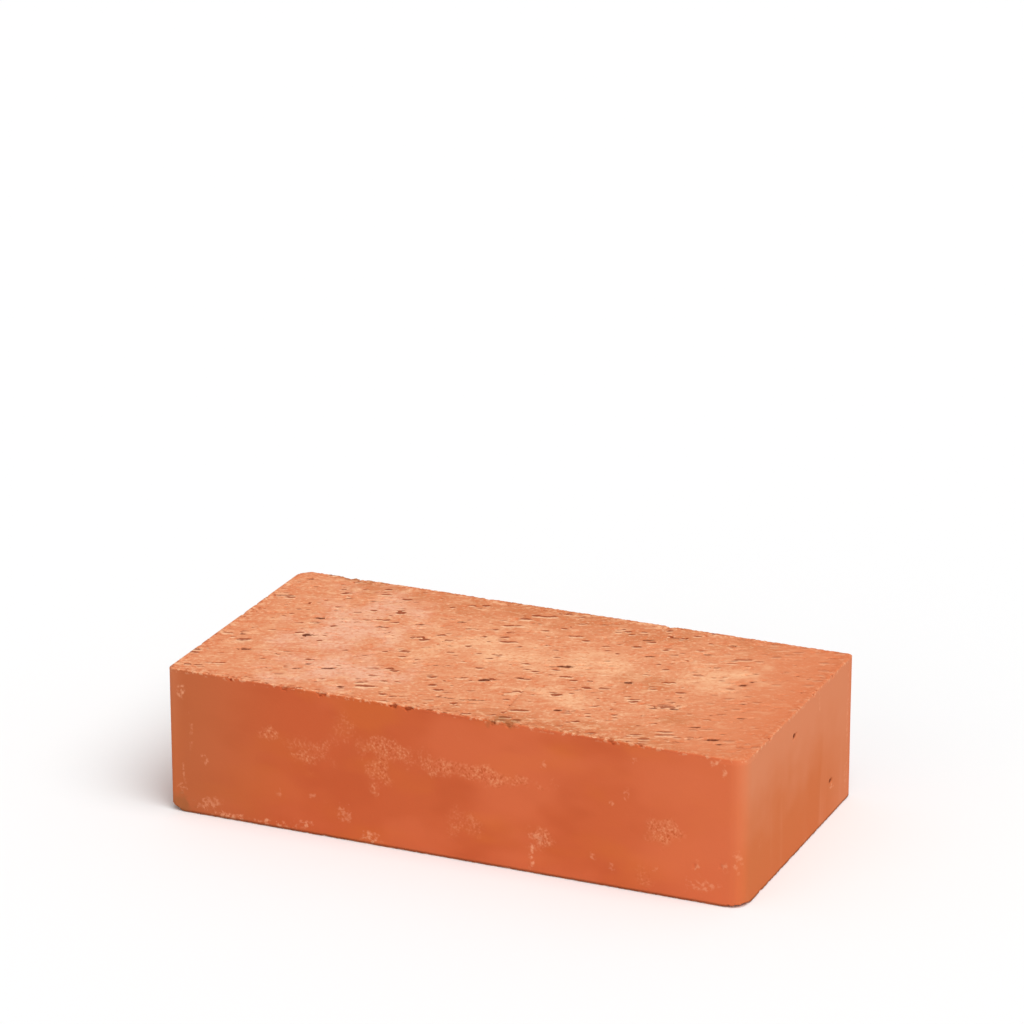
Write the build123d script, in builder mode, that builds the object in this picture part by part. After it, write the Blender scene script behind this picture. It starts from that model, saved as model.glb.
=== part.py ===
"""A solid clay building brick, lying on its bed face.

Soft clay is pushed through a die as a long column, so the four upright sides come out
smooth and meet in corners that the die rounds. Wires then cut the column into bricks.
Each wire leaves a flat bed face with crisp arrises all round, and the grains that it
drags tear short pits into the clay. Handling and firing knock a few small pieces off
the corners and arrises.

The origin is in the middle of the lower bed face. X runs along the length, Y across
the width from the front stretcher face to the back one, and Z is up.
"""

import os

from build123d import *

# The brick, in millimetres
brick_length = 200.0
brick_width = 100.0
brick_height = 50.0

# Upright corners: the front right and back left ones were rubbed while the clay was soft
rubbed_corner_radius = 5.5
crisp_corner_radius = 2.0

# Arrises that the wires leave round the two bed faces
arris_radius = 0.7

# Front right lower corner, knocked off flat: how far the break runs along each edge
near_knock_length = 7.0
near_knock_width = 8.0
near_knock_height = 2.0

# Front left lower corner, knocked off flat
left_knock_length = 4.5
left_knock_width = 3.5
left_knock_height = 3.0

# A tear in the clay: its many-sided rim and its deepest point, as shares of its length and width
tear_rim_shares = ((-0.5, 0.0), (-0.2, 0.5), (0.25, 0.4), (0.5, -0.1), (0.1, -0.5), (-0.3, -0.35))
tear_bottom_shares = (-0.1, 0.05)

# Largest pits torn by dragged grains. They point along the wire's path over the bed.
pit_length = 6.5
pit_width = 3.0
pit_depth = 1.2
drag_angle = 20.0
pit_shares = (
    # place along the length and across the width of the upper bed, then size
    (0.13, 0.61, 0.9), (0.13, 0.82, 0.6), (0.14, 0.45, 1.0), (0.175, 0.83, 0.6),
    (0.19, 0.17, 0.8), (0.24, 0.21, 0.9), (0.24, 0.62, 0.7), (0.29, 0.08, 0.6),
    (0.29, 0.69, 0.6), (0.35, 0.76, 0.7), (0.39, 0.37, 0.7), (0.49, 0.32, 1.0),
    (0.54, 0.38, 0.7), (0.59, 0.53, 1.0), (0.65, 0.17, 0.7), (0.67, 0.86, 0.9),
    (0.70, 0.72, 0.9), (0.705, 0.91, 0.7), (0.71, 0.48, 0.7), (0.78, 0.81, 0.7),
    (0.79, 0.31, 0.7), (0.805, 0.92, 0.7), (0.875, 0.21, 0.8), (0.88, 0.60, 0.8),
    (0.91, 0.45, 0.7), (0.92, 0.14, 0.9), (0.93, 0.33, 0.6),
)

# Chips knocked out of the upper arrises
chip_length = 9.0
chip_width = 4.5
chip_depth = 1.6
chip_shares = (
    # place along the length and across the width of the upper bed, then size
    (0.115, 0.0, 0.6), (0.42, 0.0, 1.0), (0.58, 0.0, 0.7), (0.78, 0.0, 0.7),
    (0.10, 1.0, 1.0), (0.35, 1.0, 0.6), (0.68, 1.0, 0.7),
    (0.0, 0.54, 0.6), (1.0, 0.22, 0.7), (1.0, 0.62, 0.6),
)

# The brick's sides, measured from the origin
right_side = brick_length / 2
left_side = -right_side
back_side = brick_width / 2
front_side = -back_side


def break_plane(corner, run_x, run_y, run_z):
    """Plane of a flat break that meets the three edges at these signed distances."""
    x, y, z = corner
    on_length = Vector(x + run_x, y, z)
    on_width = Vector(x, y + run_y, z)
    on_height = Vector(x, y, z + run_z)
    outward = (on_width - on_length).cross(on_height - on_length)
    if outward.dot(Vector(x, y, z) - on_length) < 0:
        outward = -outward
    return Plane(origin=on_length, z_dir=outward)


def tear(length, width, depth):
    """A body of flat sides between a rim in the XY plane and a point above and below it."""
    bottom_x, bottom_y = tear_bottom_shares
    rim = [Vector(x * length, y * width, 0) for x, y in tear_rim_shares]
    points = [Vector(bottom_x * length, bottom_y * width, height) for height in (-depth, depth)]
    sides = [
        Face(Wire.make_polygon([start, end, point]))
        for point in points
        for start, end in zip(rim, rim[1:] + rim[:1])
    ]
    return Solid(Shell(sides))


def bed_point(length_share, width_share, height):
    """The point over these shares of the bed, at this height."""
    return Vector(left_side + length_share * brick_length, front_side + width_share * brick_width, height)


def side_sign(share):
    """Which side of the bed a share stands for: -1, 1, or 0 between the two."""
    return {0.0: -1, 1.0: 1}.get(share, 0)


with BuildPart() as brick:
    # Column of clay, cut to the brick's height
    with BuildSketch():
        Rectangle(brick_length, brick_width)
        fillet(
            vertices().filter_by(lambda corner: corner.X * corner.Y < 0),
            radius=rubbed_corner_radius,
        )
        fillet(
            vertices().filter_by(lambda corner: corner.X * corner.Y > 0),
            radius=crisp_corner_radius,
        )
    extrude(amount=brick_height)

    # Arrises of both bed faces
    fillet(faces().filter_by(Axis.Z).edges(), radius=arris_radius)

    # Knocked lower corners
    split(
        bisect_by=break_plane(
            (right_side, front_side, 0), -near_knock_length, near_knock_width, near_knock_height
        ),
        keep=Keep.BOTTOM,
    )
    split(
        bisect_by=break_plane(
            (left_side, front_side, 0), left_knock_length, left_knock_width, left_knock_height
        ),
        keep=Keep.BOTTOM,
    )

    # Pits of both beds, those of the lower bed half a turn round from those above them
    cutters = []
    for length_share, width_share, size_share in pit_shares:
        pit = tear(size_share * pit_length, size_share * pit_width, size_share * pit_depth)
        on_top = bed_point(length_share, width_share, brick_height)
        below = bed_point(1 - length_share, 1 - width_share, 0)
        cutters.append(Location(on_top, (0, 0, drag_angle)) * pit)
        cutters.append(Location(below, (180, 0, -drag_angle)) * pit)

    # Chips, each along its arris, with its rim square to the line that halves the arris
    for length_share, width_share, size_share in chip_shares:
        chip = tear(size_share * chip_length, size_share * chip_width, size_share * chip_depth)
        outward = Vector(side_sign(length_share), side_sign(width_share), 1)
        rim_plane = Plane(
            origin=bed_point(length_share, width_share, brick_height),
            x_dir=Vector(0, 0, 1).cross(outward),
            z_dir=outward,
        )
        cutters.append(rim_plane.location * chip)
    add(cutters, mode=Mode.SUBTRACT)

brick.part.label = "brick"

os.makedirs("parts", exist_ok=True)
export_step(brick.part, "parts/brick.step")
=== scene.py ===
"""A solid clay brick, lying on its bed face on a pale studio floor.

The brick is one piece of fired clay. It was pushed through a die, which left its upright
sides smooth, and cut by wires, which tore its two bed faces. Lengths are in metres, in
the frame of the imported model: X along the brick, Y across it, Z up from the lower bed.
"""

import math

import bmesh
import bpy
import numpy as np
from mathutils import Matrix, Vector, noise
from mathutils.bvhtree import BVHTree


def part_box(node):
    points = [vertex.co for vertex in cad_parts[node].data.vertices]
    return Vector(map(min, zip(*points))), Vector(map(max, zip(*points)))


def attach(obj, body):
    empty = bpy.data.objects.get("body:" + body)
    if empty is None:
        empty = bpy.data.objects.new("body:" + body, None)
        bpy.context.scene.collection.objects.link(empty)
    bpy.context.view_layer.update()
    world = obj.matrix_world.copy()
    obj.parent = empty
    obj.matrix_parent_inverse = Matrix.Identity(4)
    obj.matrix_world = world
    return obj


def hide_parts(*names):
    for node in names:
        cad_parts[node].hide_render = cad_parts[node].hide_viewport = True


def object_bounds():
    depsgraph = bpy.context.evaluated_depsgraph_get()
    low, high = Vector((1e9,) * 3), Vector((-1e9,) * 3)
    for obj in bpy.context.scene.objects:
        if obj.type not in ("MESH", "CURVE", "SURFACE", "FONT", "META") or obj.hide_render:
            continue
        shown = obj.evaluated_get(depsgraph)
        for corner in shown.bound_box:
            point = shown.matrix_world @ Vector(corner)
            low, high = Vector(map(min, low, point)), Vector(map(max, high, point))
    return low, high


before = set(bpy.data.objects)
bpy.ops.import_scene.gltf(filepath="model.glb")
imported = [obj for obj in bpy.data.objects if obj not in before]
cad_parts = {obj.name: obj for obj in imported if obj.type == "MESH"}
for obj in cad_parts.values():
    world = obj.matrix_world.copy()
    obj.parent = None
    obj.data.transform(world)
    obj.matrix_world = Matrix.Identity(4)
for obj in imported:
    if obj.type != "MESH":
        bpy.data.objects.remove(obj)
cad_low, cad_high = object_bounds()
mm = 0.001

# Camera
# A long lens looks down on the brick from its front right, with the near upright corner
# towards it. It aims above the brick, so that the brick lies low in the picture.
camera_azimuth = math.radians(23.45)
camera_elevation = math.radians(19.42)
camera_distance = 1450 * mm
camera_aim_above = 71.8 * mm
camera_lens = 156.0

brick_middle = (cad_low + cad_high) / 2
towards_camera = Vector((
    math.sin(camera_azimuth) * math.cos(camera_elevation),
    -math.cos(camera_azimuth) * math.cos(camera_elevation),
    math.sin(camera_elevation),
))
bpy.ops.object.select_all(action="DESELECT")
bpy.ops.object.camera_add()
camera = bpy.context.object
camera.name = "studio_camera"
camera.rotation_mode = "QUATERNION"
camera.rotation_quaternion = towards_camera.to_track_quat("Z", "Y")
camera_up = camera.rotation_quaternion @ Vector((0, 1, 0))
camera.location = brick_middle + towards_camera * camera_distance + camera_up * camera_aim_above
camera.data.lens = camera_lens
bpy.context.scene.camera = camera

# Brick: the block of clay
# Solid red-firing clay, 200 by 100 by 50 mm. The die rounds its upright corners, of which
# two were rubbed rounder while the clay was soft, and the wires leave crisp bed arrises.
rubbed_corner_radius = 5.5 * mm
crisp_corner_radius = 2.0 * mm
arris_radius = 0.7 * mm
rubbed_corner_steps = 12
crisp_corner_steps = 6
arris_steps = 3
near_knock = Vector((-7.0, 8.0, 2.0)) * mm
left_knock = Vector((4.5, 3.5, 3.0)) * mm
working_cell = 2.5 * mm
upper_bed_cuts = 3
lower_bed_cuts = 1
tolerance = 0.01 * mm
same_point = 0.05 * mm

low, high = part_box("brick")
brick_size = high - low


def select_in_edit(kind, test):
    """In edit mode, selects only the edges or faces that pass the test."""
    bpy.ops.mesh.select_all(action="DESELECT")
    bpy.ops.mesh.select_mode(type=kind)
    edited = bmesh.from_edit_mesh(bpy.context.edit_object.data)
    for item in {"EDGE": edited.edges, "FACE": edited.faces}[kind]:
        if test(item):
            item.select_set(True)
    bmesh.update_edit_mesh(bpy.context.edit_object.data)


def upright_corner(edge, rubbed):
    """Whether an edge is an uncut upright corner of the block, and of the rubbed pair."""
    along = edge.verts[0].co - edge.verts[1].co
    place = edge.verts[0].co
    upright = abs(along.z) > 0.99 * along.length
    at_corner = abs(place.x) > high.x - tolerance and abs(place.y) > high.y - tolerance
    return upright and at_corner and (place.x * place.y < 0) == rubbed


def bed_arris(edge):
    """Whether an edge runs round one of the two bed faces."""
    heights = [vertex.co.z for vertex in edge.verts]
    return max(heights) < low.z + tolerance or min(heights) > high.z - tolerance


bpy.ops.object.select_all(action="DESELECT")
bpy.ops.mesh.primitive_cube_add(size=1.0, location=(low + high) / 2, scale=brick_size)
brick = bpy.context.object
brick.name = "fired_brick"
brick.data.name = "fired_brick"
bpy.ops.object.transform_apply(location=True, rotation=True, scale=True)

bpy.ops.object.mode_set(mode="EDIT")
select_in_edit("EDGE", lambda edge: upright_corner(edge, rubbed=True))
bpy.ops.mesh.bevel(offset=rubbed_corner_radius, segments=rubbed_corner_steps, affect="EDGES")
select_in_edit("EDGE", lambda edge: upright_corner(edge, rubbed=False))
bpy.ops.mesh.bevel(offset=crisp_corner_radius, segments=crisp_corner_steps, affect="EDGES")
select_in_edit("EDGE", bed_arris)
bpy.ops.mesh.bevel(offset=arris_radius, segments=arris_steps, affect="EDGES")

# Lower front corners broken off flat, then a grid of cuts that gives the relief its points
breaks = []
for corner, reach in (
    (Vector((high.x, low.y, low.z)), near_knock),
    (Vector((low.x, low.y, low.z)), left_knock),
):
    on_length = corner + Vector((reach.x, 0, 0))
    on_width = corner + Vector((0, reach.y, 0))
    on_height = corner + Vector((0, 0, reach.z))
    outward = (on_width - on_length).cross(on_height - on_length).normalized()
    if outward.dot(corner - on_length) < 0:
        outward = -outward
    breaks.append((on_length, outward))
    bpy.ops.mesh.select_all(action="SELECT")
    bpy.ops.mesh.bisect(plane_co=on_length, plane_no=outward, use_fill=True, clear_outer=True)

for axis, direction in enumerate(((1, 0, 0), (0, 1, 0), (0, 0, 1))):
    cells = round(brick_size[axis] / working_cell)
    for cut in range(1, cells):
        bpy.ops.mesh.select_all(action="SELECT")
        bpy.ops.mesh.bisect(plane_co=low + brick_size * (cut / cells), plane_no=direction)
bpy.ops.mesh.select_all(action="SELECT")
bpy.ops.mesh.remove_doubles(threshold=same_point)
bpy.ops.object.mode_set(mode="OBJECT")


def finish_with(piece, kind, name, **settings):
    """Adds a modifier with its settings and applies it."""
    bpy.context.view_layer.objects.active = piece
    modifier = piece.modifiers.new(name, kind)
    for setting, value in settings.items():
        setattr(modifier, setting, value)
    bpy.ops.object.modifier_apply(modifier=name)


finish_with(brick, "SUBSURF", "even_cells", subdivision_type="SIMPLE", levels=1, render_levels=1)
bpy.ops.object.mode_set(mode="EDIT")
select_in_edit("FACE", lambda face: face.calc_center_median().z > high.z - working_cell)
bpy.ops.mesh.subdivide(number_cuts=upper_bed_cuts)
select_in_edit("FACE", lambda face: face.calc_center_median().z < low.z + working_cell)
bpy.ops.mesh.subdivide(number_cuts=lower_bed_cuts)
bpy.ops.object.mode_set(mode="OBJECT")

# Brick: what the wires, the hands and the kiln left
# A wire dragged grains through the soft clay in one direction over each bed face. It tore
# short pits and long scratches, and left the arrises round the bed crumbled and chipped.
drag_turn = math.radians(20.0)
pit_depth = 1.2
tail_depth = 0.5
tail_share = 0.65
reach_down = 2.0
upper_pits = (
    # x, y, length and width in millimetres, and share of the full depth
    (-72, -4.7, 4.6, 3.2, 1.0), (-74.5, 11, 5.2, 2.6, 0.9), (-73.5, 32, 4.4, 2.0, 0.6),
    (-72.8, 20, 3.0, 2.2, 0.4), (-65, 32.7, 4.4, 1.7, 0.6), (-52.7, 11.7, 4.4, 2.0, 0.7),
    (-91.5, -12.3, 3.6, 1.8, 0.5), (-52, -29, 5.6, 2.2, 0.8), (-61.7, -33, 4.4, 2.0, 0.8),
    (-60, -28, 3.6, 2.2, 0.6), (-21.8, -12.9, 4.2, 1.8, 0.7), (-2, -18.4, 5.2, 3.0, 1.0),
    (-41.4, 19, 4.4, 2.0, 0.6), (-30, 26.4, 3.8, 1.9, 0.7), (-42, -42, 3.4, 2.2, 0.6),
    (33.7, 35.5, 5.6, 1.9, 0.9), (41, 40.8, 4.2, 1.9, 0.8), (39.4, 22, 5.6, 1.9, 0.9),
    (17.6, 2.8, 6.5, 3.2, 1.0), (41.3, -2, 3.2, 2.6, 0.9), (7.8, -12.2, 4.2, 2.2, 0.8),
    (61, 42, 5.0, 1.8, 0.6), (56, 31, 4.4, 1.8, 0.7), (76, 10, 3.8, 2.8, 0.8),
    (78, 14, 2.8, 2.0, 0.7), (82, -4.8, 4.2, 1.8, 0.7), (85.6, -16.6, 4.0, 2.0, 0.6),
    (84, -36.4, 4.8, 2.8, 1.0), (30, -33, 3.6, 2.4, 0.8), (57, -19.3, 4.2, 1.8, 0.7),
    (63.7, -17.5, 4.4, 1.8, 0.7), (75, -29, 5.0, 2.0, 0.7), (-94, 43.5, 3.6, 1.8, 0.8),
    (-89, 37.5, 3.0, 1.8, 0.5), (-34, 7.4, 3.6, 1.5, 0.5), (-24.8, 5.6, 3.0, 1.5, 0.4),
    (5, 17.7, 5.0, 1.3, 0.6), (8.2, 29.3, 3.0, 1.6, 0.5), (23, 6, 3.0, 1.5, 0.5),
    (31, 9.3, 2.8, 1.6, 0.5), (61.5, -7.4, 3.0, 1.6, 0.5), (86.6, -39.5, 3.0, 1.8, 0.7),
    (-12.6, -6, 3.0, 1.5, 0.4), (4.8, -3.2, 3.0, 1.6, 0.5),
)
scratches = (
    # from x, y to x, y, then width and depth, in millimetres
    (-13.5, -38, -1, -36.6, 1.5, 0.6), (-2, -36.6, 8, -34, 1.6, 0.7),
    (-88.8, -25.6, -81.5, -22.3, 1.5, 0.6), (-93.7, 8.4, -84.8, 11.4, 1.4, 0.5),
    (91.8, 42.6, 98, 45.3, 1.5, 0.7), (12.6, -15.3, 15.4, -44.5, 1.2, 0.3),
    (-8, 26, 0, 27.6, 1.3, 0.5), (70, -44, 79, -41.5, 1.3, 0.5),
)
upper_chips = (
    # x, y, length along the arris, reach and depth in millimetres
    (-77, -50, 1.8, 1.5, 1.0), (-19.5, -50, 3.4, 1.5, 1.0), (-14.5, -50, 5.0, 1.5, 1.0),
    (-58, -50, 4.0, 1.3, 0.7), (-45, -50, 5.0, 1.2, 0.7), (14.7, -50, 2.0, 1.6, 1.0),
    (20, -50, 5.0, 1.5, 0.6), (55, -50, 3.2, 1.4, 0.8), (65, -50, 2.0, 1.2, 0.7),
    (-82, 50, 5.0, 1.4, 0.4), (-77, 50, 4.4, 1.5, 0.5), (-30, 50, 3.0, 1.2, 0.6),
    (36, 50, 4.0, 1.2, 0.6), (100, -28, 3.0, 1.2, 0.7), (100, 12, 2.4, 1.2, 0.6),
    (100, 30, 3.0, 1.2, 0.6), (-100, 4, 3.4, 1.0, 0.4),
)
pinhole_depth = 1.5
pinhole_surround = 2.5
pinhole_cuts = 4
side_pinholes = (
    # x, y, z, width and height in millimetres, and share of the full depth
    (100, -5.7, 41.8, 3.8, 2.0, 0.9), (100, 30, 12.7, 3.4, 2.0, 0.8), (83.5, -50, 12.1, 1.4, 2.6, 0.13),
    (92.2, -50, 13.6, 1.8, 1.8, 0.13), (-100, 12, 30, 2.0, 2.0, 0.9), (-40, 50, 22, 1.8, 2.0, 0.9),
    (38, 50, 35, 1.2, 1.8, 0.8), (70, 50, 12, 1.4, 1.4, 0.7),
)
drag_mark_count = 240
rim_margin = 3.0
crumb_chip_count = 50
crumb_depth = 0.16
rubbed_depth = 0.45
rubbed_reach = 2.2
rubbed_full = 6.0
rubbed_end = 14.0
break_grain_depth = 0.45


def points_of(piece):
    """The piece's vertices, one row each, in millimetres."""
    flat = np.empty(len(piece.data.vertices) * 3)
    piece.data.vertices.foreach_get("co", flat)
    return flat.reshape(-1, 3) / mm


def ease(value, start, end):
    """0 at start, 1 at end, and smooth between them."""
    share = np.clip((value - start) / (end - start), 0, 1)
    return share * share * (3 - 2 * share)


def weigh(piece, name, weights):
    """A vertex group with these weights, in steps too small to see."""
    steps = 60
    group = piece.vertex_groups.new(name=name)
    levels = np.round(np.clip(weights, 0, 1) * steps).astype(int)
    for level in range(1, steps + 1):
        members = np.nonzero(levels == level)[0].tolist()
        if members:
            group.add(members, level / steps, "REPLACE")


def ragged(points, size):
    """A rough value for each point, from -1 to 1, that changes over this size."""
    return np.array([noise.noise(Vector(point) / size) for point in points])


def hollow(total, points, centre, reaches, turn, depth, rough=0.35):
    """Deepens the points' depths in total to those of an oval hollow with a ragged rim."""
    offset = points - np.array(centre)
    near = np.nonzero(np.abs(offset).max(axis=1) < 1.6 * max(reaches))[0]
    offset = offset[near]
    along = offset[:, 0] * math.cos(turn) + offset[:, 1] * math.sin(turn)
    across = offset[:, 1] * math.cos(turn) - offset[:, 0] * math.sin(turn)
    spread = np.sqrt(
        (along / reaches[0]) ** 2 + (across / reaches[1]) ** 2 + (offset[:, 2] / reaches[2]) ** 2
    )
    spread += rough * ragged(points[near], 0.9)
    total[near] = np.maximum(total[near], depth * ease(spread, 1.1, 0.45))


bpy.ops.object.mode_set(mode="EDIT")
select_in_edit("FACE", lambda face: any(
    (face.calc_center_median() / mm - Vector(mark[:3])).length < pinhole_surround
    for mark in side_pinholes
))
bpy.ops.mesh.subdivide(number_cuts=pinhole_cuts)
bpy.ops.object.mode_set(mode="OBJECT")

plain_block = BVHTree.FromObject(brick, bpy.context.evaluated_depsgraph_get())
places = points_of(brick)
half_length = brick_size.x / 2 / mm
half_width = brick_size.y / 2 / mm
height = brick_size.z / mm
from_header = half_length - np.abs(places[:, 0])
from_stretcher = half_width - np.abs(places[:, 1])
from_outline = np.minimum(from_header, from_stretcher)
from_bed = np.minimum(places[:, 2], height - places[:, 2])

# How far each point belongs to a bed face, to an arris and to a side, from 0 to 1
on_bed = ease(from_bed, 0.35, 0.0) * ease(from_outline, 0.4, 2.2)
on_arris = ease(from_bed, 1.6, 0.2) * ease(from_outline, 1.6, 0.2)
on_side = ease(from_outline, 0.7, 0.0) * ease(from_bed, 0.3, 1.2)

# Each point's depth of wear in millimetres, by the deepest hollow that reaches it: wire pits
# with a thin tail, scratches, short drag marks, chips of the arrises and pinholes
random = np.random.default_rng(7)
worn = np.zeros(len(places))
for bed, side in ((height, 1), (0.0, -1)):
    for x, y, length, width, share in upper_pits:
        x, y = side * x, side * y
        tail = tail_share * length * random.choice((-1, 1))
        reaches = (length / 2, width / 2, reach_down)
        hollow(worn, places, (x, y, bed), reaches, drag_turn, pit_depth * share)
        behind = (x + tail * math.cos(drag_turn), y + tail * math.sin(drag_turn), bed)
        reaches = (length / 2, width / 4, reach_down)
        hollow(worn, places, behind, reaches, drag_turn, tail_depth * share)
for x0, y0, x1, y1, width, depth in scratches:
    middle = ((x0 + x1) / 2, (y0 + y1) / 2, height)
    reaches = (math.hypot(x1 - x0, y1 - y0) / 2, width / 2, reach_down)
    hollow(worn, places, middle, reaches, math.atan2(y1 - y0, x1 - x0), depth, rough=0.5)
for _ in range(drag_mark_count):
    centre = (
        random.uniform(rim_margin - half_length, half_length - rim_margin),
        random.uniform(rim_margin - half_width, half_width - rim_margin),
        random.choice((0.0, height)),
    )
    length = random.uniform(1.6, 6.0)
    width = random.uniform(0.9, 1.5)
    depth = random.uniform(0.3, 0.75)
    turn = drag_turn + random.normal(0, 0.12)
    hollow(worn, places, centre, (length / 2, width / 2, reach_down), turn, depth)
for x, y, length, reach, depth in upper_chips:
    along_length = abs(y) > half_width - 1
    reaches = (length / 2, reach, reach) if along_length else (reach, length / 2, reach)
    hollow(worn, places, (x, y, height), reaches, 0.0, depth, rough=0.6)
for _ in range(crumb_chip_count):
    length = random.uniform(1.0, 3.2)
    reach = random.uniform(0.5, 0.9)
    depth = random.uniform(0.1, 0.4)
    bed = height if random.random() < 0.6 else 0.0
    if random.random() < 0.66:
        centre = (random.uniform(-half_length, half_length), half_width * random.choice((-1, 1)), bed)
        reaches = (length / 2, reach, reach)
    else:
        centre = (half_length * random.choice((-1, 1)), random.uniform(-half_width, half_width), bed)
        reaches = (reach, length / 2, reach)
    hollow(worn, places, centre, reaches, 0.0, depth, rough=0.45)
for x, y, z, width, tall, share in side_pinholes:
    hollow(worn, places, (x, y, z), (width / 2, width / 2, tall / 2), 0.0, pinhole_depth * share)

# The arrises crumble, apart from the left header's, the upper near corner is rubbed round,
# and the two breaks are grainy
crumbled = np.nonzero(on_arris * (places[:, 0] > 0.5 - half_length) > 0.01)[0]
worn[crumbled] += crumb_depth * on_arris[crumbled] * ease(ragged(places[crumbled], 1.0), -0.35, 0.45)
near_corner = np.array((half_length, -half_width, height))
bend_radius = rubbed_corner_radius / mm
beyond_bend = np.maximum((places - near_corner) * (1, -1, 0) + (bend_radius, bend_radius, 0), 0)
from_bend = bend_radius - np.linalg.norm(beyond_bend, axis=1)
from_corner = np.linalg.norm(places - near_corner, axis=1)
rubbed = rubbed_depth * ease(from_corner, rubbed_end, rubbed_full)
rubbed = rubbed * ease(from_bend, rubbed_reach, 0.0) * ease(from_bed, rubbed_reach, 0.0)
worn = np.maximum(worn, rubbed)
for place, outward in breaks:
    behind = (places - np.array(place) / mm) @ np.array(outward)
    broken = np.nonzero(behind > -0.25)[0]
    grainy_break = break_grain_depth * ease(ragged(places[broken], 1.4), -0.5, 0.5)
    worn[broken] = np.maximum(worn[broken], grainy_break)

# Everything is pressed towards a core box, so that nothing folds over at an arris
core_inset = 3.0
core_low = np.array((-half_length, -half_width, 0.0)) + core_inset
core_high = np.array((half_length, half_width, height)) - core_inset
inward = np.clip(places, core_low, core_high) - places
inward /= np.linalg.norm(inward, axis=1)[:, None]
deepest = worn.max()
for axis, letter in enumerate("XYZ"):
    for sign in (-1, 1):
        name = "towards_" + letter + ("_low" if sign < 0 else "_high")
        weigh(brick, name, worn / deepest * np.clip(sign * inward[:, axis], 0, 1))
        finish_with(
            brick, "DISPLACE", name, vertex_group=name, direction=letter, mid_level=0.0,
            strength=sign * deepest * mm,
        )
brick.vertex_groups.clear()
weigh(brick, "upper_bed", on_bed * (places[:, 2] > height / 2))
weigh(brick, "lower_bed", on_bed * (places[:, 2] < height / 2))
weigh(brick, "side", on_side)


def press(piece, name, group, direction, depth, size, turn=0.0, stops=None, detail=0):
    """Presses a cloudy pattern into one part of a piece, by at most depth.

    size is how far the clouds reach along X, Y and Z in millimetres, turned about Z.
    stops give the pattern's grey at two positions between its lowest and highest.
    """
    texture = bpy.data.textures.new(name, "CLOUDS")
    texture.noise_scale = 1.0
    texture.noise_depth = detail
    if stops:
        texture.use_color_ramp = True
        for element, (position, grey) in zip(texture.color_ramp.elements, stops):
            element.position = position
            element.color = (grey, grey, grey, 1)
    bpy.ops.object.empty_add(location=(0, 0, 0), rotation=(0, 0, turn))
    guide = bpy.context.object
    guide.scale = Vector(size) * mm
    bpy.context.view_layer.update()
    finish_with(
        piece, "DISPLACE", name, texture=texture, texture_coords="OBJECT", texture_coords_object=guide,
        vertex_group=group, direction=direction, mid_level=0.0, strength=depth,
    )
    bpy.data.objects.remove(guide)
    bpy.data.textures.remove(texture)


bpy.ops.object.select_all(action="DESELECT")
for group, down in (("upper_bed", -1), ("lower_bed", 1)):
    press(brick, "bed_hollows", group, "Z", down * 0.12 * mm, (45, 28, 28))
    press(brick, "drag_streaks", group, "Z", down * 0.2 * mm, (7, 2.0, 5), drag_turn, detail=2)
    press(
        brick, "torn_pits", group, "Z", down * 0.6 * mm, (3.2, 1.6, 5), drag_turn,
        stops=((0.75, 0), (0.85, 1)), detail=1,
    )
press(brick, "side_waves", "side", "NORMAL", -0.25 * mm, (40, 40, 34))
press(brick, "die_lines", "side", "NORMAL", -0.04 * mm, (2.2, 2.2, 60), detail=1)

# Cells of the beds are merged where they are flat, to keep the piece under its triangle limit
most_triangles = 194000
merging_reach = 1.4
triangles = sum(len(face.vertices) - 2 for face in brick.data.polygons)
weigh(brick, "merged", np.array(from_bed < merging_reach, dtype=float))
finish_with(brick, "DECIMATE", "merged_cells", ratio=most_triangles / triangles, vertex_group="merged")
brick.vertex_groups.clear()
bpy.ops.object.select_all(action="DESELECT")
brick.select_set(True)
bpy.ops.object.shade_smooth()

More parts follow.
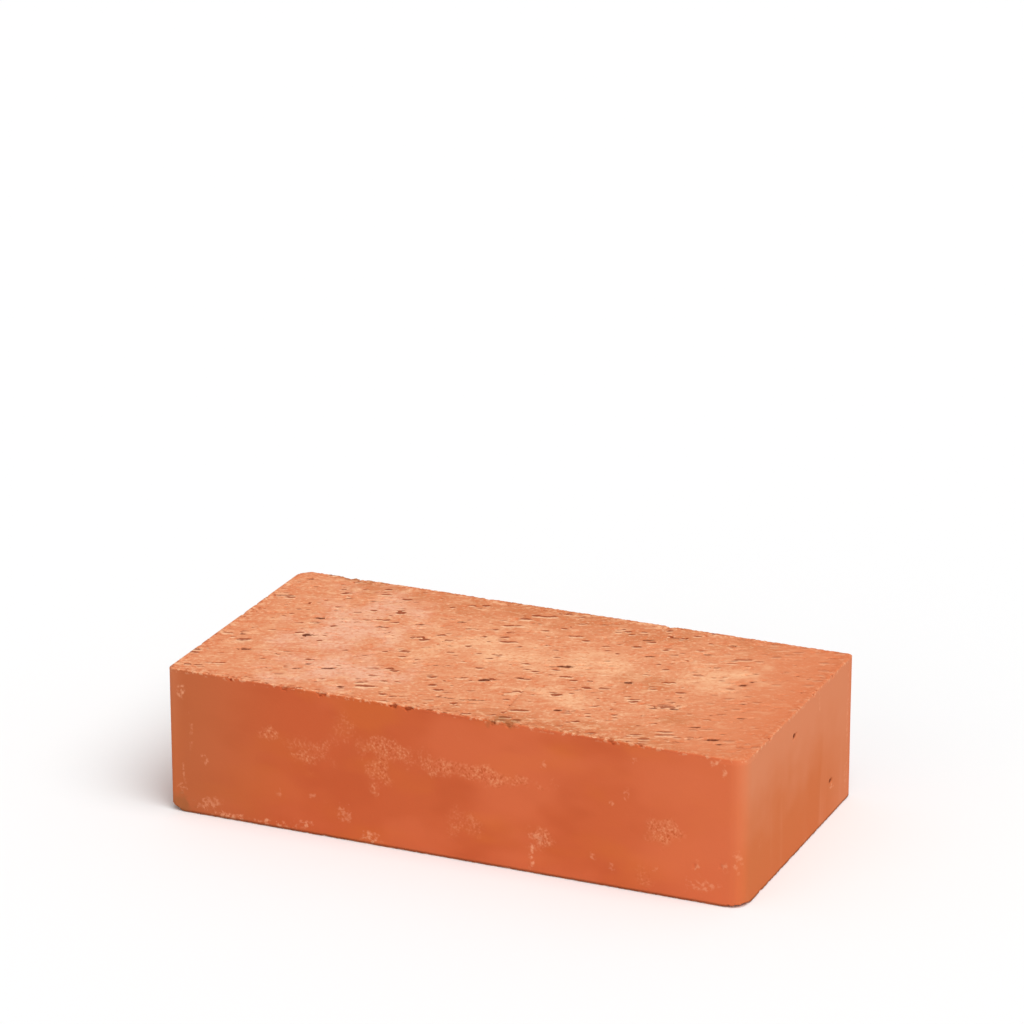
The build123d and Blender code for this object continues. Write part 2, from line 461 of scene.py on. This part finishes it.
# Marks of the clay's colour, as ovals with cloudy rims: paler dust, rosier and browner clay
# on the beds, sand that clung to the sides, scrapes, scuffs, olive stains of the kiln at the upper
# arrises, and an olive darkening at the lower left corner
colour_marks = {
    # middle and reaches of each in millimetres
    "dusty": (
        ((-12, 8, 25), (24, 20, 60)), ((28, 5, 25), (22, 14, 60)), ((68, 12, 25), (15, 17, 60)),
        ((26, -24, 25), (18, 8, 60)),
    ),
    "rosy": (((-61, 4, 25), (19, 52, 60)), ((-50, -28, 25), (26, 17, 60))),
    "browned": (
        ((0, 44, 25), (75, 15, 60)), ((34, 40, 25), (14, 12, 60)), ((38, -46, 25), (44, 12, 60)),
        ((47, 0, 25), (12, 9, 60)), ((68, -26, 25), (7, 6, 60)), ((-68, 44, 25), (14, 8, 60)),
    ),
    "sandy": (
        ((-22, -50, 34), (14, 9, 4)), ((8, -50, 31), (26, 9, 3.2)), ((-25, -50, 27), (4.5, 9, 8)),
        ((73, -50, 22), (6, 9, 6)), ((31, -50, 12.5), (5, 9, 4)), ((-63.6, -50, 32.6), (4, 9, 2.4)),
        ((-51.7, -50, 26.5), (4, 9, 3)),
    ),
    "scraped": (
        ((28.3, -50, 6.5), (1.0, 9, 7)), ((-51, -50, 3.2), (3.2, 9, 2.2)),
        ((-27.7, -50, 2.2), (4.0, 9, 2.4)), ((89.8, -50, 47.6), (2.0, 9, 1.2)),
        ((92.8, -50, 45.2), (1.1, 9, 2.2)), ((-80, -50, 1.4), (9, 9, 1.4)),
        ((-62, -50, 1.6), (8, 9, 1.2)), ((-95, -50, 43), (1.6, 9, 2.6)),
        ((100, 31, 10.8), (9, 2.0, 1.2)),
    ),
    "scuffed": (
        ((31, -50, 12.5), (3, 9, 3)), ((-37.3, -50, 9.6), (3, 9, 3)), ((-86, -50, 4.5), (5, 9, 2.4)),
        ((97.4, -48, 16), (1.6, 9, 4.5)), ((86, -50, 6), (6, 9, 2.5)), ((-96, -50, 41), (1.4, 9, 2)),
        ((-95.4, -50, 8.6), (1.9, 9, 2.5)), ((-87.3, -50, 19.9), (1.7, 9, 2.2)),
        ((-92, -50, 28), (0.8, 9, 7)), ((62.9, -50, 44.3), (1.3, 9, 1.5)),
        ((60.3, -50, 32.5), (1.5, 9, 2)), ((55.3, -50, 28.5), (1.2, 9, 1.5)),
        ((32.8, -50, 37.8), (1.3, 9, 1.7)), ((49.3, -50, 9.4), (1.2, 9, 1.5)),
        ((55.8, -50, 7), (1.4, 9, 1.8)), ((70.4, -50, 8.2), (1.2, 9, 1.5)),
        ((-60.5, -50, 12.8), (1.4, 9, 1.8)), ((-48.5, -50, 14), (1.3, 9, 1.7)),
        ((84.6, -50, 12.1), (1.6, 9, 2.1)), ((93.6, -50, 13.4), (1.6, 9, 2.1)),
        ((100, 45, 30), (9, 1.0, 14)), ((100, 44.8, 9), (9, 1.6, 5)), ((100, 17, 44), (9, 1.0, 5)),
        ((-95, -50, 15), (0.7, 9, 4)),
    ),
    "stained": (
        ((-80, 50, 50), (11, 4.5, 4)), ((20, -48, 50), (6, 4, 3)), ((-96.5, -50, 2), (6, 9, 4)),
    ),
}


def remember(piece, name, values):
    """Keeps one value for each point of a piece, which its material can read."""
    piece.data.attributes.new(name, "FLOAT", "POINT").data.foreach_set("value", values)


# Each point remembers how far it was worn below the plain block, whether it belongs to a
# bed face, and how far it lies from the marks of each kind, in shares of their reaches
nearest = [plain_block.find_nearest(vertex.co) for vertex in brick.data.vertices]
remember(brick, "worn_depth", [distance / mm for _, _, _, distance in nearest])
remember(brick, "bed_share", [abs(normal.z) for _, normal, _, _ in nearest])
places = points_of(brick)
for kind, marks in colour_marks.items():
    shares = [
        np.linalg.norm((places - np.array(middle)) / np.array(reaches), axis=1)
        for middle, reaches in marks
    ]
    remember(brick, kind, np.minimum.reduce(shares))

# Brick: fired clay
# Iron-rich clay fires to an orange red. It is porous and quite matt. The die leaves a
# closed skin on the sides; the torn beds show paler grain, dust and deep pits, whose darker colour is
# partly their clay and partly a painted shade.
clay_roughness = 0.9
clay_specular = 0.1


def linear(colour):
    """An sRGB hex colour as the linear RGBA that shaders work in."""
    shares = [int(colour[start:start + 2], 16) / 255 for start in (1, 3, 5)]
    return tuple(s / 12.92 if s <= 0.04045 else ((s + 0.055) / 1.055) ** 2.4 for s in shares) + (1.0,)


bed_clay = linear("#DC9067")
bed_dust = linear("#F0B78C")
bed_ruddy = linear("#D37348")
bed_rosy = linear("#E6AB8C")
bed_brown = linear("#C8794E")
# The next two colours also paint the torn strokes: a shade in their creases and a highlight on their lips
dark_crumb_and_crease_shade = linear("#944222")
pale_grain_and_lip_highlight = linear("#F4C39B")
stain_olive = linear("#945E36")
# The pit and chip colours stand partly for deeper clay and partly for painted shade in the hollows
pit_clay_and_shade = linear("#642A15")
crumb_clay = linear("#F0BC92")
chip_clay_and_shade = linear("#94401F")
stretcher_clay = linear("#C96038")
stretcher_deep = linear("#BF5731")
stretcher_orange = linear("#CC6634")
stretcher_pink = linear("#D66D45")
stretcher_olive = linear("#B0643C")
# The header colours are partly the headers' own tan and partly a painted light, lighter than the
# stretchers as though lit from the right
header_clay_and_light = linear("#C96D3E")
header_pale_and_light = linear("#D28059")
sandy_clay = linear("#DB8258")
sandy_pale = linear("#E59C70")
speck_clay = linear("#E8A27A")
# The next colour is a painted shade for the foot of the sides, by the floor
painted_floor_shade = linear("#6E3A20")


def add_node(tree, kind, inputs, output=0, **settings):
    """One node with its settings. Its inputs are values or other nodes' outputs."""
    node = tree.nodes.new(kind)
    for name, value in settings.items():
        setattr(node, name, value)
    for socket, source in inputs.items():
        if isinstance(source, bpy.types.NodeSocket):
            tree.links.new(source, node.inputs[socket])
        else:
            node.inputs[socket].default_value = source
    return node.outputs[output]


clay = bpy.data.materials.new("fired_red_clay")
clay.use_nodes = True
tree = clay.node_tree
clay_shader = tree.nodes["Principled BSDF"]
in_metres = add_node(tree, "ShaderNodeTexCoord", {}, "Object")
place = add_node(tree, "ShaderNodeMapping", {"Vector": in_metres, "Scale": (1 / mm, 1 / mm, 1 / mm)})
axes = add_node(tree, "ShaderNodeSeparateXYZ", {0: place}).node.outputs
along, across, up = axes["X"], axes["Y"], axes["Z"]
worn_depth = add_node(tree, "ShaderNodeAttribute", {}, "Fac", attribute_name="worn_depth")
bed_share = add_node(tree, "ShaderNodeAttribute", {}, "Fac", attribute_name="bed_share")
beyond_x = add_node(tree, "ShaderNodeMath", {0: along}, operation="ABSOLUTE")
beyond_y = add_node(tree, "ShaderNodeMath", {0: across}, operation="ABSOLUTE")
from_x = add_node(tree, "ShaderNodeMath", {0: half_length, 1: beyond_x}, operation="SUBTRACT")
from_y = add_node(tree, "ShaderNodeMath", {0: half_width, 1: beyond_y}, operation="SUBTRACT")
from_rim = add_node(tree, "ShaderNodeMath", {0: from_x, 1: from_y}, operation="MINIMUM")


def clouds(size, detail=2.0, turn=0.0, shift=(0, 0, 0), bend=0.0):
    """Soft noise from 0 to 1, whose clouds reach this many millimetres along each axis."""
    turned = add_node(tree, "ShaderNodeMapping", {
        "Vector": place, "Location": shift, "Rotation": (0, 0, turn), "Scale": size,
    }, vector_type="TEXTURE")
    return add_node(tree, "ShaderNodeTexNoise", {
        "Vector": turned, "Scale": 1.0, "Detail": detail, "Distortion": bend,
    })


def marked(kind, size):
    """Grows from about 1.4 in the middle of one kind's marks to 2.4 at their cloudy rims."""
    spread = add_node(tree, "ShaderNodeAttribute", {}, "Fac", attribute_name=kind)
    return add_node(tree, "ShaderNodeMath", {
        0: clouds((size, size, size), 4.0), 1: 2.8, 2: spread,
    }, operation="MULTIPLY_ADD")


def mottle(under, over, pattern, start, end, strength=1.0, within=1.0):
    """Lays a colour over another, from nothing where a pattern is at start to full at end."""
    share = add_node(tree, "ShaderNodeMapRange", {
        "Value": pattern, "From Min": start, "From Max": end, "To Max": strength,
    }, interpolation_type="SMOOTHSTEP")
    share = add_node(tree, "ShaderNodeMath", {0: share, 1: within}, operation="MULTIPLY")
    return add_node(tree, "ShaderNodeMix", {0: share, 6: under, 7: over}, 2, data_type="RGBA")


def strokes(size, shift=(0, 0, 0)):
    """Torn strokes along the drag, at most one in each cell of this size. Below zero inside."""
    bends = add_node(tree, "ShaderNodeTexNoise", {"Vector": place, "Scale": 1 / 3, "Detail": 2.0}, "Color")
    bent = add_node(tree, "ShaderNodeVectorMath", {
        0: bends, 1: (1.8, 1.8, 0), 2: place,
    }, operation="MULTIPLY_ADD")
    turned = add_node(tree, "ShaderNodeMapping", {
        "Vector": bent, "Location": shift, "Rotation": (0, 0, drag_turn), "Scale": size,
    }, vector_type="TEXTURE")
    cells = add_node(tree, "ShaderNodeTexVoronoi", {"Vector": turned, "Scale": 1.0}).node.outputs
    torn = add_node(tree, "ShaderNodeMath", {
        0: clouds((1.6, 0.9, 1.2)), 1: 0.3, 2: cells["Distance"],
    }, operation="MULTIPLY_ADD")
    return add_node(tree, "ShaderNodeMath", {
        0: cells["Color"], 1: -0.8, 2: torn,
    }, operation="MULTIPLY_ADD")


# The beds: dusty along the middle, ruddier at the rim and the right end, torn along the drag
soft_rim = add_node(tree, "ShaderNodeMath", {
    0: clouds((9, 9, 9), 3.0), 1: 14.0, 2: from_rim,
}, operation="MULTIPLY_ADD")
bed = mottle(bed_clay, bed_ruddy, clouds((34, 24, 20), 3.0), 0.5, 0.75, 0.35)
bed = mottle(bed, bed_ruddy, along, 45, 110, 0.7)
bed = mottle(bed, bed_ruddy, soft_rim, 16, 7, 0.45)
bed = mottle(bed, bed_rosy, marked("rosy", 12), 2.7, 1.6)
bed = mottle(bed, bed_dust, marked("dusty", 12), 2.7, 1.6, 0.75)
bed = mottle(bed, bed_brown, marked("browned", 8), 2.7, 1.6, 0.8)
streaks = clouds((6.0, 3.2, 6), 4.0, drag_turn, (11, 4, 2), 0.6)
grainy = add_node(tree, "ShaderNodeMapRange", {
    "Value": along, "From Min": 90.0, "From Max": 50.0, "To Min": 0.35,
}, interpolation_type="SMOOTHSTEP")
bed = mottle(bed, bed_ruddy, streaks, 0.5, 0.72, 0.5, grainy)
bed = mottle(bed, bed_dust, streaks, 0.48, 0.3, 0.5, grainy)
bed_grain = clouds((1.4, 1.1, 1.3), 3.0, drag_turn, (4, 9, 3))
bed = mottle(bed, bed_ruddy, bed_grain, 0.5, 0.3, 0.6, grainy)
bed = mottle(bed, pale_grain_and_lip_highlight, bed_grain, 0.54, 0.72, 0.5, grainy)

# Each torn stroke is a dark crease with a pale lip to one side, drawn from a shifted copy of the stroke: a
# painted shade in the crease and a painted highlight on the lip, as though lit from one side
long_size = (11.0, 3.0, 5.0)
short_size = (5.0, 2.2, 3.0)
long_strokes = strokes(long_size)
short_strokes = strokes(short_size, (7, 3, 1))
torn_here = add_node(tree, "ShaderNodeMapRange", {
    "Value": clouds((12, 12, 12), 2.0, 0.0, (1, 27, 3)), "From Min": 0.36, "From Max": 0.55,
}, interpolation_type="SMOOTHSTEP")
torn_here = add_node(tree, "ShaderNodeMath", {0: torn_here, 1: grainy}, operation="MULTIPLY")
bed = mottle(bed, pale_grain_and_lip_highlight, strokes(long_size, (0.3, -0.9, 0)), -0.22, -0.31, 0.7, grainy)
bed = mottle(bed, pale_grain_and_lip_highlight, strokes(short_size, (7.2, 2.2, 1)), -0.08, -0.2, 0.6, torn_here)
bed = mottle(bed, dark_crumb_and_crease_shade, short_strokes, -0.06, -0.22, 0.9, torn_here)
bed = mottle(bed, dark_crumb_and_crease_shade, long_strokes, -0.24, -0.36, 0.85, grainy)

# Crumbs at the rim, and the floors of pits and chips, darkened by their depth: partly deeper clay and
# partly a painted shade
crumbs = clouds((1.6, 1.3, 1.2), 2.0)
near_rim = add_node(tree, "ShaderNodeMapRange", {
    "Value": soft_rim, "From Min": 12.5, "From Max": 8.0,
}, interpolation_type="SMOOTHSTEP")
near_rim = add_node(tree, "ShaderNodeMath", {0: near_rim, 1: grainy}, operation="MULTIPLY")
bed = mottle(bed, crumb_clay, crumbs, 0.54, 0.64, 0.5, near_rim)
bed = mottle(bed, dark_crumb_and_crease_shade, crumbs, 0.44, 0.34, 0.5, near_rim)
pit_floor_clay_and_shade = mottle(pit_clay_and_shade, chip_clay_and_shade, from_rim, 3.0, 1.5)
bed = mottle(bed, pit_floor_clay_and_shade, worn_depth, 0.42, 0.8, 0.92)

# The stretchers: soft mottling, pinker towards the right end and olive at the left
stretcher = mottle(stretcher_clay, stretcher_deep, clouds((24, 24, 15)), 0.44, 0.68, 0.6)
stretcher = mottle(stretcher, stretcher_orange, clouds((30, 30, 14), shift=(13, 5, 31)), 0.46, 0.7)
stretcher = mottle(stretcher, stretcher_pink, clouds((34, 34, 20), shift=(70, 11, 8)), 0.42, 0.66, 0.6)
stretcher = mottle(stretcher, stretcher_pink, along, 45, 95, 0.8)
stretcher = mottle(stretcher, stretcher_deep, along, 30, -60, 0.4)
stretcher = mottle(stretcher, stretcher_olive, along, -50, -100, 0.62)

# The headers: tan orange, partly their own clay and partly a painted light from the right, paler towards
# the upper bed and the back, with faint die streaks
paler_up = add_node(tree, "ShaderNodeMath", {
    0: clouds((22, 22, 22), shift=(0, 30, 0)), 1: 40.0, 2: up,
}, operation="MULTIPLY_ADD")
header = mottle(header_clay_and_light, header_pale_and_light, paler_up, 34, 68)
header = mottle(header, header_pale_and_light, clouds((14, 9, 70), 3.0), 0.5, 0.75, 0.5)
header = mottle(header, header_pale_and_light, across, 15, 50, 0.7)
corner_side = add_node(tree, "ShaderNodeMath", {0: beyond_x, 1: beyond_y}, operation="SUBTRACT")
corner_middle = half_length - half_width
side = mottle(stretcher, header, corner_side, corner_middle - 7, corner_middle + 7)

# Marks on the sides: sandy patches, pale scrapes and scuffs, crumbs below the upper arris,
# a painted shade along the floor, and pinholes and chips painted dark, partly for their deeper clay and
# partly as painted shade
grain = clouds((0.75, 0.75, 0.75), 3.0)
sandy = clouds((17, 17, 17), 2.0, 0.0, (3, 8, 5))
sandy = add_node(tree, "ShaderNodeMath", {0: sandy, 1: -4.0, 2: 5.1}, operation="MULTIPLY_ADD")
sandy = add_node(tree, "ShaderNodeMath", {0: sandy, 1: marked("sandy", 5)}, operation="MINIMUM")
sandy = add_node(tree, "ShaderNodeMapRange", {
    "Value": sandy, "From Min": 2.6, "From Max": 1.7,
}, interpolation_type="SMOOTHSTEP")
side = mottle(side, sandy_clay, sandy, 0, 1, 0.25)
side = mottle(side, sandy_pale, grain, 0.5, 0.66, 0.45, sandy)
side = mottle(side, stretcher_deep, grain, 0.47, 0.34, 0.9, sandy)
scraped = add_node(tree, "ShaderNodeMapRange", {
    "Value": clouds((1.3, 1.3, 1.3), 3.0), "From Min": 0.42, "From Max": 0.62,
}, interpolation_type="SMOOTHSTEP")
side = mottle(side, speck_clay, marked("scraped", 2), 2.5, 1.7, 0.7, scraped)
side = mottle(side, speck_clay, marked("scuffed", 2), 2.5, 1.7, 0.38, scraped)
by_arris = add_node(tree, "ShaderNodeMapRange", {"Value": up, "From Min": 48.4, "From Max": 49.8})
side = mottle(side, crumb_clay, crumbs, 0.54, 0.64, 0.5, by_arris)
# A painted shade at the foot of the sides, fading out by 1.3 mm above the floor
side = mottle(side, painted_floor_shade, up, 1.3, 0.5, 0.7)
# Pinholes and chips on the sides are darkened by depth, partly as deeper clay and partly as a painted
# shade
side_pit_clay_and_shade = mottle(pit_clay_and_shade, chip_clay_and_shade, up, 46, 48)
side = mottle(side, side_pit_clay_and_shade, worn_depth, 0.3, 1.0, 0.9)

# Beds and sides meet at the arrises. The beds' grain is the coarser of the two, and the
# olive marks lie over both
torn_grain = add_node(tree, "ShaderNodeMath", {0: bed_grain, 1: 4.0}, operation="MULTIPLY")
bump_height = add_node(tree, "ShaderNodeMix", {0: bed_share, 2: grain, 3: torn_grain})
bump = add_node(tree, "ShaderNodeBump", {"Height": bump_height, "Strength": 0.8, "Distance": 0.05 * mm})
clay_colour = mottle(side, bed, bed_share, 0.55, 0.9)
clay_colour = mottle(clay_colour, stain_olive, marked("stained", 4), 2.5, 1.7, 0.5)
tree.links.new(clay_colour, clay_shader.inputs["Base Color"])
tree.links.new(bump, clay_shader.inputs["Normal"])
clay_shader.inputs["Roughness"].default_value = clay_roughness
clay_shader.inputs["Specular IOR Level"].default_value = clay_specular
brick.data.materials.append(clay)

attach(brick, "root")
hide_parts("brick")

# Floor
# A wide sheet of pale studio paper, which the brick lies on and shades.
floor_size = 12.0
floor_white = "#F2F2F2"
bpy.ops.object.select_all(action="DESELECT")
bpy.ops.mesh.primitive_plane_add(size=floor_size, location=(0, 0, low.z))
floor = bpy.context.object
floor.name = "studio_floor"
bpy.ops.object.transform_apply(location=True, rotation=True, scale=True)
paper = bpy.data.materials.new("matt_paper")
paper.use_nodes = True
paper_shader = paper.node_tree.nodes["Principled BSDF"]
paper_shader.inputs["Base Color"].default_value = linear(floor_white)
paper_shader.inputs["Roughness"].default_value = 1.0
paper_shader.inputs["Specular IOR Level"].default_value = 0.0
floor.data.materials.append(paper)

# Light
# One broad soft lamp from above and to the right, a weak one from the front left, and an
# even pale room that camera and reflections see as white.
room_light = 0.45
lamp_spread = math.radians(50)
for name, towards, strength in (
    ("broad_lamp", Vector((0.45, -0.25, 0.86)), 0.75),
    ("front_lamp", Vector((-0.25, -0.92, 0.3)), 0.12),
):
    bpy.ops.object.light_add(type="SUN", rotation=towards.to_track_quat("Z", "Y").to_euler())
    lamp = bpy.context.object
    lamp.name = name
    lamp.data.energy = math.pi * strength
    lamp.data.angle = lamp_spread

world = bpy.data.worlds.new("pale_room")
bpy.context.scene.world = world
world.use_nodes = True
room = world.node_tree
seen = add_node(room, "ShaderNodeLightPath", {}).node.outputs
shown = add_node(room, "ShaderNodeMath", {
    0: seen["Is Camera Ray"], 1: seen["Is Glossy Ray"],
}, operation="MAXIMUM")
shown = add_node(room, "ShaderNodeMath", {0: shown, 1: seen["Is Transmission Ray"]}, operation="MAXIMUM")
strength = add_node(room, "ShaderNodeMapRange", {"Value": shown, "To Min": room_light, "To Max": 1.0})
room.nodes["Background"].inputs["Color"].default_value = (1, 1, 1, 1)
room.links.new(strength, room.nodes["Background"].inputs["Strength"])

bpy.context.scene.view_settings.view_transform = "Standard"
